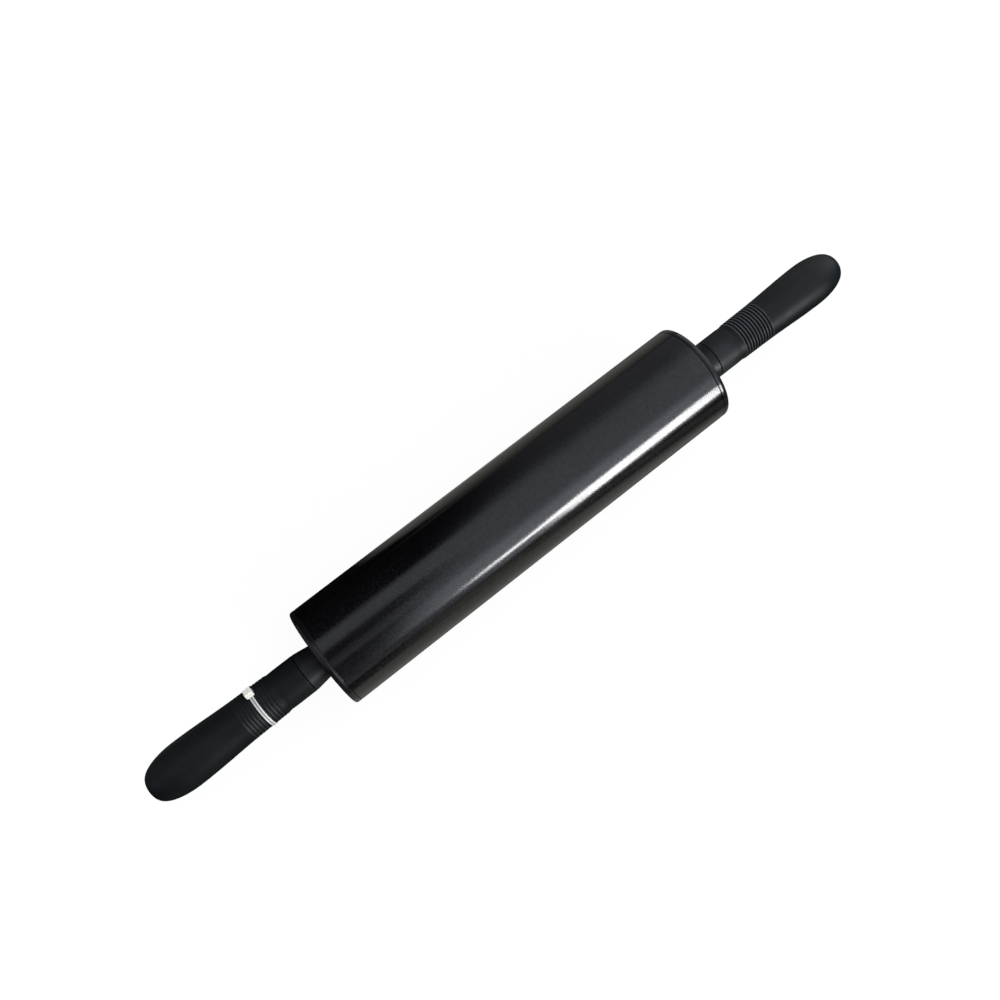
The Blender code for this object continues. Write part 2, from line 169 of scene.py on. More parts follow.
def rounded(corners, steps):
    """A closed section's points from (along, radius, fillet) corners, with each fillet as an arc."""
    points = []
    for i, (x, r, fillet) in enumerate(corners):
        corner = Vector((x, r))
        if fillet <= 0:
            points.append((x, r))
            continue
        before = Vector(corners[i - 1][:2]) - corner
        after = Vector(corners[(i + 1) % len(corners)][:2]) - corner
        reach = 0.48 * min(before.length, after.length)
        u, v = before.normalized(), after.normalized()
        opening = u.angle(v)
        if opening > math.radians(176):
            points.append((x, r))
            continue
        run = min(fillet / math.tan(opening / 2), reach)
        radius = run * math.tan(opening / 2)
        centre = corner + (u + v).normalized() * (radius / math.sin(opening / 2))
        start, end = corner + u * run - centre, corner + v * run - centre
        sweep = start.angle_signed(end)
        for k in range(steps + 1):
            turn = Matrix.Rotation(-sweep * k / steps, 2)
            points.append(tuple(centre + turn @ start))
    return points


def lathe(name, section, sides, mirror=1):
    """A solid of revolution about X from (along, radius) points. mirror -1 makes it for the left end."""
    verts, rings = [], []
    for x, r in section:
        if r < 1e-7:
            rings.append([len(verts)])
            verts.append((mirror * x, 0.0, 0.0))
            continue
        first = len(verts)
        for k in range(sides):
            a = math.tau * k / sides
            verts.append((mirror * x, r * math.sin(a), r * math.cos(a)))
        rings.append(list(range(first, first + sides)))
    faces = []
    for i, a in enumerate(rings):
        b = rings[(i + 1) % len(rings)]
        if len(a) == 1 and len(b) == 1:
            continue
        for k in range(sides):
            k1 = (k + 1) % sides
            if len(a) == 1:
                faces.append((a[0], b[k], b[k1]))
            elif len(b) == 1:
                faces.append((a[k], b[0], a[k1]))
            else:
                faces.append((a[k], b[k], b[k1], a[k1]))
    return solid(name, verts, faces)


def solid(name, verts, faces):
    mesh = bpy.data.meshes.new(name)
    mesh.from_pydata(verts, [], faces)
    form = bmesh.new()
    form.from_mesh(mesh)
    bmesh.ops.recalc_face_normals(form, faces=form.faces)
    form.to_mesh(mesh)
    form.free()
    return link(bpy.data.objects.new(name, mesh))


def block(name, size, lift=0.0, taper=1.0, edge=0.0, steps=2, profile=0.5):
    """A box about the origin, raised by lift, with its top narrowed by taper and its edges bevelled."""
    length, width, height = size
    form = bmesh.new()
    bmesh.ops.create_cube(form, size=1.0)
    for vert in form.verts:
        x, y, z = vert.co
        share = taper if z > 0 else 1.0
        vert.co = (x * length * share, y * width * share, z * height + lift)
    if edge:
        bmesh.ops.bevel(form, geom=form.edges, offset=edge, segments=steps, profile=profile, affect="EDGES")
    mesh = bpy.data.meshes.new(name)
    form.to_mesh(mesh)
    form.free()
    return link(bpy.data.objects.new(name, mesh))


# Materials

class Surface:
    """A procedural material, built from noise in the piece's own coordinates."""

    def __init__(self, name):
        self.made = bpy.data.materials.new(name)
        self.made.use_nodes = True
        self.nodes = self.made.node_tree.nodes
        self.links = self.made.node_tree.links
        self.shader = self.nodes["Principled BSDF"]
        self.place = self.nodes.new("ShaderNodeTexCoord").outputs["Object"]

    def wire(self, source, target):
        self.links.new(source, target)

    def noise(self, scale, detail=3.0, rough=0.55, stretch=None):
        node = self.nodes.new("ShaderNodeTexNoise")
        node.inputs["Scale"].default_value = scale
        node.inputs["Detail"].default_value = detail
        node.inputs["Roughness"].default_value = rough
        source = self.place
        if stretch:
            mapping = self.nodes.new("ShaderNodeMapping")
            mapping.inputs["Scale"].default_value = stretch
            self.wire(source, mapping.inputs["Vector"])
            source = mapping.outputs["Vector"]
        self.wire(source, node.inputs["Vector"])
        return node.outputs["Fac"]

    def specks(self, scale, size):
        """1 inside small round specks and 0 outside them."""
        node = self.nodes.new("ShaderNodeTexVoronoi")
        node.inputs["Scale"].default_value = scale
        self.wire(self.place, node.inputs["Vector"])
        return self.span(node.outputs["Distance"], size, size * 0.4, 0.0, 1.0)

    def span(self, value, low, high, out_low, out_high):
        """A value from low to high turned, softly at both ends, into one from out_low to out_high."""
        node = self.nodes.new("ShaderNodeMapRange")
        node.interpolation_type = "SMOOTHSTEP"
        for label, number in (
            ("From Min", low),
            ("From Max", high),
            ("To Min", out_low),
            ("To Max", out_high),
        ):
            node.inputs[label].default_value = number
        self.wire(value, node.inputs["Value"])
        return node.outputs["Result"]

    def math(self, operation, *values):
        node = self.nodes.new("ShaderNodeMath")
        node.operation = operation
        for i, value in enumerate(values):
            if isinstance(value, (int, float)):
                node.inputs[i].default_value = value
            else:
                self.wire(value, node.inputs[i])
        return node.outputs["Value"]

    def times(self, *values):
        product = values[0]
        for value in values[1:]:
            product = self.math("MULTIPLY", product, value)
        return product

    def parts(self):
        """A point's X along the axle, Y to the rear and Z up."""
        split = self.nodes.new("ShaderNodeSeparateXYZ")
        self.wire(self.place, split.inputs["Vector"])
        return split.outputs["X"], split.outputs["Y"], split.outputs["Z"]

    def along(self):
        """How far along the pin a point is from its middle."""
        return self.math("ABSOLUTE", self.parts()[0])

    def out(self):
        """How far out a point is from the pin's axis."""
        x, y, z = self.parts()
        return self.math("SQRT", self.math("ADD", self.math("POWER", y, 2), self.math("POWER", z, 2)))

    def mix(self, factor, a, b):
        node = self.nodes.new("ShaderNodeMix")
        node.data_type = "RGBA"
        for socket, value in ((node.inputs[6], a), (node.inputs[7], b)):
            if isinstance(value, tuple):
                socket.default_value = (*value, 1.0)
            else:
                self.wire(value, socket)
        self.wire(factor, node.inputs[0])
        return node.outputs[2]

    def bump(self, height, depth, after=None):
        node = self.nodes.new("ShaderNodeBump")
        node.inputs["Strength"].default_value = 1.0
        node.inputs["Distance"].default_value = depth
        self.wire(height, node.inputs["Height"])
        if after is not None:
            self.wire(after, node.inputs["Normal"])
        return node.outputs["Normal"]

    def set(self, **values):
        for label, value in values.items():
            socket = self.shader.inputs[label.replace("_", " ")]
            if isinstance(value, (int, float, tuple)):
                socket.default_value = value
            else:
                self.wire(value, socket)
        return self


def nonstick_material():
    """Black coating on steel: glossy, with small pale specks, fine dull grains and a paler worn edge."""
    s = Surface("nonstick_coating")
    grain = s.noise(1500, 3, 0.6)
    cloud = s.span(s.noise(22, 4), 0.35, 0.7, 0.0, 1.0)
    tint = s.mix(cloud, (0.0007, 0.0008, 0.0009), (0.0016, 0.0015, 0.0017))
    # a paler speckle in patches, the coat's grain, with painted light making it strongest in front and
    # plainest at the rear
    mottle = s.times(
        s.span(s.noise(820, 2, 0.6), 0.47, 0.65, 0.0, 1.0),
        s.span(s.noise(35, 3), 0.35, 0.65, 0.35, 1.0),
        s.span(s.parts()[1], 0 * MM, 15 * MM, 1.0, 0.28),
    )
    tint = s.mix(mottle, tint, (0.0092, 0.0095, 0.0105))
    flecks = s.times(s.specks(900, 0.22), s.span(s.noise(180, 3), 0.38, 0.62, 0.15, 0.75))
    tint = s.mix(flecks, tint, (0.016, 0.016, 0.018))
    edge = s.span(s.along(), 120.4 * MM, 121.5 * MM, 0.0, 1.0)
    tint = s.mix(s.times(edge, s.span(grain, 0.45, 0.75, 0.0, 0.5)), tint, (0.02, 0.02, 0.022))
    rough = s.span(s.noise(60, 5), 0.3, 0.7, 0.095, 0.135)
    rough = s.math("ADD", rough, s.span(grain, 0.4, 0.75, 0.0, 0.05))
    # with so dark a tint, a metallic share only dulls the gloss
    dull = s.span(s.noise(1400, 2, 0.6), 0.40, 0.62, 0.0, 0.23)
    peel = s.bump(s.noise(1100, 2, 0.5), 0.0020 * MM)
    normal = s.bump(grain, 0.0105 * MM, peel)
    return s.set(Base_Color=tint, Roughness=rough, Normal=normal, Metallic=dull, IOR=1.5).made


def cap_material():
    """Black moulded plastic: glossy on the rim, satin on the collar, with a paler painted sheen there."""
    s = Surface("cap_plastic")
    rim = s.span(s.out(), 17 * MM, 24 * MM, 0.0, 1.0)
    cloud = s.span(s.noise(90, 4), 0.35, 0.7, 0.0, 1.0)
    tint = s.mix(cloud, (0.0035, 0.0037, 0.0042), (0.0075, 0.0075, 0.0085))
    # painted sheen: the satin collar is painted a little paler than the rim
    collar_sheen = s.mix(cloud, (0.0085, 0.0088, 0.0092), (0.0125, 0.0128, 0.0134))
    tint = s.mix(rim, collar_sheen, tint)
    worn = s.times(rim, s.span(s.noise(300, 4, 0.7), 0.62, 0.80, 0.0, 0.5))
    tint = s.mix(worn, tint, (0.022, 0.022, 0.024))
    haze = s.noise(160, 4)
    blend = s.mix(rim, s.span(haze, 0.3, 0.7, 0.33, 0.42), s.span(haze, 0.3, 0.7, 0.11, 0.16))
    grey = s.nodes.new("ShaderNodeRGBToBW")
    s.wire(blend, grey.inputs["Color"])
    s.set(Base_Color=tint, Roughness=grey.outputs["Val"], Normal=s.bump(s.noise(1900, 3, 0.6), 0.006 * MM))
    s.set(Coat_Weight=s.times(rim, 0.22), Coat_Roughness=0.12)
    return s.set(IOR=1.5, Specular_IOR_Level=0.19).made


def grip_material():
    """Black plastic with a fine matt grain; painted light on the crests and right neck, painted shade in the
    grooves.
    """
    s = Surface("grip_plastic")
    grain = s.noise(2300, 4, 0.65)
    cloud = s.noise(45, 4)
    dust = s.noise(700, 5, 0.7)
    along = s.along()
    x, y = s.parts()[:2]
    right = s.span(x, -5 * MM, 5 * MM, 0.0, 1.0)
    left = s.math("SUBTRACT", 1.0, right)
    tint = s.mix(s.span(cloud, 0.3, 0.7, 0.0, 1.0), (0.0030, 0.0046, 0.0049), (0.0048, 0.0068, 0.0072))
    tint = s.mix(s.span(dust, 0.60, 0.78, 0.0, 0.25), tint, (0.018, 0.019, 0.020))
    # painted light: the right neck is painted a little paler, most in front
    neck_light = s.times(right, s.span(along, 153 * MM, 143 * MM, 0.0, 0.30), s.span(y, 8 * MM, -4 * MM, 0.2, 1.0))
    tint = s.mix(neck_light, tint, (0.044, 0.049, 0.051))
    # where the rings' painted highlights and shade go, fading in from the neck on the left
    first = BARREL_END + RING_START
    last = first + (RING_COUNT - 1) * RING_PITCH
    start = s.span(along, first - RING_PITCH, first - 0.4 * RING_PITCH, 0.0, 1.0)
    late = s.span(along, first - RING_PITCH, first + 2.2 * RING_PITCH, -1.0, 0.0)
    start = s.math("MAXIMUM", s.math("ADD", start, s.times(left, late)), 0.0)
    rings = s.times(start, s.span(along, last + RING_PITCH, last + 0.4 * RING_PITCH, 0.0, 1.0))
    # 1 in the middle of a groove and -1 on top of a crest
    wave = s.math("COSINE", s.times(s.math("SUBTRACT", along, first), math.tau / RING_PITCH))
    # painted highlights: the crests are painted paler, most to the rear on the right and in front on the
    # left
    rear = s.span(y, -9 * MM, 5 * MM, 0.42, 1.25)
    front = s.times(s.span(y, -1 * MM, -6 * MM, 0.04, 0.62), s.span(y, -10.5 * MM, -8 * MM, 0.5, 1.0))
    crest_light_side = s.math("ADD", s.times(right, rear), s.times(left, front))
    # painted shade: the grooves are painted dark, less so far in front on the right, and mostly in front on
    # the left
    low = s.span(y, -10 * MM, -6 * MM, 0.5, 1.0)
    near = s.times(s.span(y, 0 * MM, -6 * MM, 0.10, 1.0), s.span(y, -10.5 * MM, -8 * MM, 0.4, 1.0))
    groove_shade_side = s.math("ADD", s.times(right, low), s.times(left, near))
    crest = s.times(s.span(wave, 0.25, -0.7, 0.0, 1.0), rings)
    groove = s.times(s.span(wave, 0.0, 0.7, 0.0, 1.0), rings, groove_shade_side)
    tint = s.mix(s.times(crest, crest_light_side), tint, (0.046, 0.052, 0.053))
    tint = s.mix(groove, tint, (0.0005, 0.0006, 0.0006))
    palm = s.span(along, 185 * MM, 205 * MM, 0.0, 1.0)
    rough = s.span(s.noise(110, 5), 0.3, 0.7, 0.42, 0.50)
    rough = s.math("SUBTRACT", rough, s.times(palm, s.span(cloud, 0.4, 0.65, 0.0, 0.05)))
    rough = s.math("ADD", rough, s.times(groove, 0.12))
    slant = s.nodes.new("ShaderNodeLayerWeight")
    rough = s.math("ADD", rough, s.span(slant.outputs["Facing"], 0.62, 0.90, 0.0, 0.38))
    normal = s.bump(grain, 0.010 * MM)
    return s.set(Base_Color=tint, Roughness=rough, Normal=normal, IOR=1.48, Specular_IOR_Level=0.17).made


def tie_material():
    """Off-white nylon: painted light on the head's top, and the strap's channel dark, thin over the black
    grip and with painted shade.
    """
    s = Surface("tie_nylon")
    cloud = s.noise(260, 4)
    out = s.out()
    mottle = s.span(cloud, 0.3, 0.7, 0.0, 1.0)
    thin_and_shaded = s.mix(mottle, (0.25, 0.255, 0.242), (0.31, 0.315, 0.30))
    strap = s.mix(mottle, (0.62, 0.62, 0.57), (0.72, 0.72, 0.66))
    head = s.mix(mottle, (0.68, 0.67, 0.58), (0.76, 0.75, 0.66))
    crown = s.mix(mottle, (0.94, 0.92, 0.76), (0.97, 0.95, 0.80))
    # painted shade and light: the tint steps paler with the distance out from the axis, from the channel's
    # floor through the strap and head to the head's top
    tint = s.mix(s.span(out, 11.58 * MM, 11.70 * MM, 0.0, 1.0), thin_and_shaded, strap)
    tint = s.mix(s.span(out, 11.90 * MM, 12.30 * MM, 0.0, 1.0), tint, head)
    tint = s.mix(s.span(out, 14.50 * MM, 14.90 * MM, 0.0, 1.0), tint, crown)
    rough = s.span(cloud, 0.3, 0.7, 0.42, 0.54)
    s.set(Base_Color=tint, Roughness=rough, Normal=s.bump(s.noise(2600, 3, 0.6), 0.008 * MM), IOR=1.53)
    s.set(Subsurface_Weight=0.2, Subsurface_Scale=0.5 * MM, Subsurface_Radius=(1.0, 0.9, 0.75))
    return s.made


def metal_material(name, dark, light, low, high, streaks=False):
    s = Surface(name)
    stretch = (9.0, 1.0, 1.0) if streaks else None
    brushed = s.noise(700, 4, 0.6, stretch)
    cloud = s.noise(120, 4)
    tint = s.mix(s.span(cloud, 0.3, 0.7, 0.0, 1.0), dark, light)
    tint = s.mix(s.span(brushed, 0.62, 0.82, 0.0, 0.35), tint, tuple(0.55 * c for c in dark))
    rough = s.span(brushed, 0.3, 0.7, low, high)
    normal = s.bump(brushed, 0.004 * MM)
    return s.set(Base_Color=tint, Roughness=rough, Normal=normal, Metallic=1.0).made


def nylon_material(name, dark, light):
    s = Surface(name)
    cloud = s.noise(220, 4)
    tint = s.mix(s.span(cloud, 0.3, 0.7, 0.0, 1.0), dark, light)
    rough = s.span(cloud, 0.3, 0.7, 0.42, 0.55)
    return s.set(Base_Color=tint, Roughness=rough, Normal=s.bump(s.noise(1800), 0.010 * MM)).made


# Pieces

def tube_section():
    wall = barrel_radius - TUBE_WALL
    corners = [
        (-tube_end, wall, TUBE_INNER_EDGE),
        (-tube_end, barrel_radius, TUBE_EDGE),
        (tube_end, barrel_radius, TUBE_EDGE),
        (tube_end, wall, TUBE_INNER_EDGE),
    ]
    return rounded(corners, 4)


def hub_radius(out):
    return HUB_RADIUS + (COLLAR_RADIUS - HUB_RADIUS) * (out / COLLAR_LENGTH) ** COLLAR_FLARE


def cap_section():
    """The cap as the CAD has it, with its edges filleted and its rim crowned."""
    skirt = barrel_radius - TUBE_WALL - SKIRT_CLEARANCE
    boss = race_high.z + BOSS_WALL
    pocket = race_high.z + POCKET_CLEARANCE
    groove = pocket + RETAINER_GROOVE_DEPTH
    bore = sleeve_high.z + SLEEVE_CLEARANCE
    seat = race_high.x + SEAT_CLEARANCE
    groove_out = race_low.x
    groove_in = groove_out - RETAINER_GROOVE_WIDTH
    boss_end = cap_low.x
    dish = BARREL_END - DISH_DEPTH
    web = BARREL_END - WEB_BACK
    corners = [(cap_high.x, bore, 0.25 * MM), (cap_high.x, COLLAR_RADIUS, 0.18 * MM)]
    for i in range(1, COLLAR_STEPS):
        out = COLLAR_LENGTH * (1 - i / COLLAR_STEPS) * COLLAR_REACH
        corners.append((BARREL_END + out, hub_radius(out), 0))
    corners += [
        # the hub's foot, the dished face and the rim
        (BARREL_END - 0.7 * MM, HUB_RADIUS, 1.2 * MM),
        (dish, HUB_RADIUS + 1.5 * MM, 1.0 * MM),
        (dish, barrel_radius - DISH_EDGE, 0.8 * MM),
        (BARREL_END, barrel_radius - RIM_WIDTH, 0.4 * MM),
        (BARREL_END, barrel_radius - 0.1 * MM, 1.25 * MM),
        (BARREL_END - RIM_TOP, barrel_radius, 1.5 * MM),
        (RIM_START, barrel_radius - RIM_FALL, 0.10 * MM),
        # the skirt inside the tube
        (RIM_START, skirt, 0),
        (RIM_START - SKIRT_LENGTH, skirt, 0.3 * MM),
        (RIM_START - SKIRT_LENGTH, skirt - SKIRT_WALL, 0.3 * MM),
        # the web's back and the boss round the bearing
        (web, skirt - SKIRT_WALL, 0.6 * MM),
        (web, boss, 0.6 * MM),
        (boss_end, boss, 0.3 * MM),
        (boss_end, pocket, 0.2 * MM),
        # the spring ring's groove and the bearing's seat
        (groove_in, pocket, 0),
        (groove_in, groove, 0),
        (groove_out, groove, 0),
        (groove_out, pocket, 0),
        (seat, pocket, 0.2 * MM),
        (seat, bore + SEAT_WIDTH, 0),
        (seat + SEAT_CHAMFER, bore, 0),
    ]
    return rounded(corners, 5)


def ease(t):
    return t * t * (3 - 2 * t)


def grip_radius(out):
    """The grip's outside radius, at a distance out from the barrel's end, without its rings."""
    if out < NECK_END:
        return NECK_RADIUS
    if out < WAIST_PLACE:
        share = (out - NECK_END) / (WAIST_PLACE - NECK_END)
        return NECK_RADIUS + (WAIST_RADIUS - NECK_RADIUS) * ease(share)
    if out < RINGS_START:
        share = (out - WAIST_PLACE) / (RINGS_START - WAIST_PLACE)
        return WAIST_RADIUS + (RING_FRONT_RADIUS - WAIST_RADIUS) * ease(share)
    if out < RINGS_END:
        share = (out - RINGS_START) / (RINGS_END - RINGS_START)
        return RING_FRONT_RADIUS + (RING_BACK_RADIUS - RING_FRONT_RADIUS) * share
    if out < BULB_PLACE:
        swell = math.sin((out - RINGS_END) / (BULB_PLACE - RINGS_END) * math.pi / 2) ** BULB_SWELL
        return RING_BACK_RADIUS + (BULB_RADIUS - RING_BACK_RADIUS) * swell
    share = min((out - BULB_PLACE) / (grip_high.x - BARREL_END - BULB_PLACE), 1.0)
    return BULB_RADIUS * (1 - share**NOSE_FULLNESS) ** (1 / NOSE_ROUNDNESS)


def ring_cut(out, depth):
    """How far the ring grooves cut in, with a narrow rounded groove and a crowned crest."""
    count = (out - RINGS_START) / RING_PITCH
    if not 0 <= count <= RING_COUNT:
        return 0.0
    off = (count % 1.0 - 0.5) * RING_PITCH
    groove = math.exp(-((off / RING_GROOVE) ** 2))
    crown = RING_CROWN * depth * (1 - abs(2 * off / RING_PITCH)) ** 2
    edge = min(count, RING_COUNT - count)
    return depth * groove + crown * min(1.0, edge * 2)


def grip_section(ring_depth):
    """The grip from its front edge over the rings and the nose to the bore, as (along, radius) points."""
    front = grip_low.x - BARREL_END
    face = NECK_RADIUS - NECK_EDGE
    points = [(front, GRIP_BORE), (front, face - 0.02 * MM)]
    edge_steps = 6
    for k in range(1, edge_steps + 1):
        a = math.pi / 2 * k / edge_steps
        points.append((front + NECK_EDGE * (1 - math.cos(a)), face + NECK_EDGE * math.sin(a)))
    out = front + 1.6 * MM
    while out < RING_START - RING_PITCH:
        points.append((out, grip_radius(out)))
        out += 1.4 * MM
    ring_steps = 12
    for k in range(RING_COUNT * ring_steps + 1):
        out = RINGS_START + RING_PITCH * k / ring_steps
        points.append((out, grip_radius(out) - ring_cut(out, ring_depth)))
    bulb_steps = 22
    for k in range(1, bulb_steps):
        out = RINGS_END + (BULB_PLACE - RINGS_END) * k / bulb_steps
        points.append((out, grip_radius(out)))
    nose = grip_high.x - BARREL_END - BULB_PLACE
    nose_steps = 22
    for k in range(nose_steps):
        out = BULB_PLACE + nose * math.sin(math.pi / 2 * k / nose_steps)
        points.append((out, grip_radius(out)))
    points += [(BULB_PLACE + nose, 0.0), (GRIP_BORE_END, 0.0), (GRIP_BORE_END, GRIP_BORE)]
    return [(BARREL_END + x, r) for x, r in points]


def tie_strap():
    """The strap: a rounded band with a toothed channel sunk in its outer face."""
    middle = (tie_low.x + tie_high.x) / 2
    inner = grip_radius(-middle - BARREL_END) - TIE_SINK
    outer = inner + TIE_THICKNESS
    half = TIE_WIDTH / 2
    steps = TIE_TEETH * len(TIE_TOOTH_DEPTHS)
    verts, faces = [], []
    for i in range(steps):
        a = math.tau * i / steps
        tooth = TIE_TOOTH_DEPTHS[i % len(TIE_TOOTH_DEPTHS)]
        side = [
            (half - 0.15 * MM, inner),
            (half, inner + 0.15 * MM),
            (half, outer - 0.24 * MM),
            (half - 0.10 * MM, outer - 0.07 * MM),
            (half - 0.24 * MM, outer),
            (TIE_CHANNEL + 0.08 * MM, outer),
            (TIE_CHANNEL, outer - TIE_LEDGE),
            (TIE_CHANNEL - 0.02 * MM, outer - tooth - TIE_LEDGE),
        ]
        ring = side + [(-x, r) for x, r in reversed(side)]
        for x, r in ring:
            verts.append((middle + x, r * math.sin(a), r * math.cos(a)))
    n = len(ring)
    for i in range(steps):
        j = (i + 1) % steps
        for k in range(n):
            k1 = (k + 1) % n
            faces.append((i * n + k, i * n + k1, j * n + k1, j * n + k))
    strap = solid("tie_strap", verts, faces)
    return smooth(strap, 40, even=False), middle, outer


def tie_head(middle, outer):
    """The head: a tapered block with soft edges, and in a slot in its top the strap's cut end."""
    top = HEAD_SIZE[2] / 2
    head = block("tie_head", HEAD_SIZE, taper=HEAD_TAPER, edge=HEAD_EDGE, steps=4)
    slot = block("tie_slot_cut", SLOT_SIZE, lift=top)
    cut = head.modifiers.new("slot", "BOOLEAN")
    cut.object = slot
    cut.operation = "DIFFERENCE"
    cut.solver = "EXACT"
    graph = bpy.context.evaluated_depsgraph_get()
    done = bpy.data.meshes.new_from_object(head.evaluated_get(graph))
    head.modifiers.clear()
    head.data = done
    bpy.data.objects.remove(slot, do_unlink=True)
    end = block("tie_cut_end", END_SIZE, lift=top - END_SINK, edge=END_EDGE, profile=0.0)
    out = outer - HEAD_SINK + top
    place = Matrix.Translation((middle, out * math.sin(TIE_ANGLE), out * math.cos(TIE_ANGLE)))
    place = place @ Matrix.Rotation(-TIE_ANGLE, 4, "X")
    for obj in (head, end):
        obj.data.transform(place)
        smooth(obj, 38)
    return head, end


# Build

nonstick = nonstick_material()
cap_plastic = cap_material()
grip_plastic = grip_material()
tie_nylon = tie_material()
bearing_steel = metal_material("bearing_steel", (0.50, 0.51, 0.52), (0.62, 0.63, 0.64), 0.16, 0.26)
ball_steel = metal_material("ball_steel", (0.56, 0.57, 0.58), (0.66, 0.67, 0.68), 0.05, 0.12)
spring_steel = metal_material("spring_steel", (0.20, 0.20, 0.21), (0.32, 0.32, 0.33), 0.30, 0.42)
axle_steel = metal_material("axle_steel", (0.44, 0.44, 0.45), (0.56, 0.56, 0.57), 0.24, 0.36, streaks=True)
insert_brass = metal_material("insert_brass", (0.62, 0.43, 0.17), (0.76, 0.56, 0.26), 0.25, 0.38)
cage_nylon = nylon_material("cage_nylon", (0.62, 0.59, 0.50), (0.74, 0.71, 0.62))
sleeve_nylon = nylon_material("sleeve_nylon", (0.54, 0.54, 0.50), (0.66, 0.66, 0.62))


def dress(obj, surface, body, slot, *nodes):
    obj.data.materials.clear()
    obj.data.materials.append(surface)
    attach(obj, body)
    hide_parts(*nodes)


barrel = smooth(lathe("barrel_shell", tube_section(), BARREL_SIDES))
dress(barrel, nonstick, "roller", "nonstick_coating", "barrel_tube")

for name, side in (("left", -1), ("right", 1)):
    cap = smooth(lathe(f"{name}_cap_shell", cap_section(), CAP_SIDES, mirror=side))
    dress(cap, cap_plastic, "roller", "cap_plastic", f"{name}_end_cap")
    section = grip_section(RING_DEPTH if side > 0 else RING_DEPTH * RING_WEAR)
    grip = smooth(lathe(f"{name}_grip_shell", section, GRIP_SIDES, mirror=side), 45, even=False)
    dress(grip, grip_plastic, "axle_and_grips", "grip_plastic", f"{name}_grip")

strap, tie_middle, tie_outer = tie_strap()
dress(strap, tie_nylon, "axle_and_grips", "tie_nylon", "cable_tie")
for obj in tie_head(tie_middle, tie_outer):
    dress(obj, tie_nylon, "axle_and_grips", "tie_nylon", "cable_tie")

KEPT = {
    "bearing_outer_race": bearing_steel,
    "bearing_inner_race": bearing_steel,
    "bearing_retainer": spring_steel,
    "axle_clip": spring_steel,
    "ball_cage": cage_nylon,
    "spacer_sleeve": sleeve_nylon,
    "threaded_insert": insert_brass,
    "axle_rod": axle_steel,
    "ball_": ball_steel,
}
for node_name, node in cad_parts.items():
    for part, surface in KEPT.items():
        if part in node_name:
            node.data.materials.clear()
            node.data.materials.append(surface)
            break


# Studio

scene = bpy.context.scene
scene.view_settings.view_transform = "Standard"
scene.view_settings.look = "None"


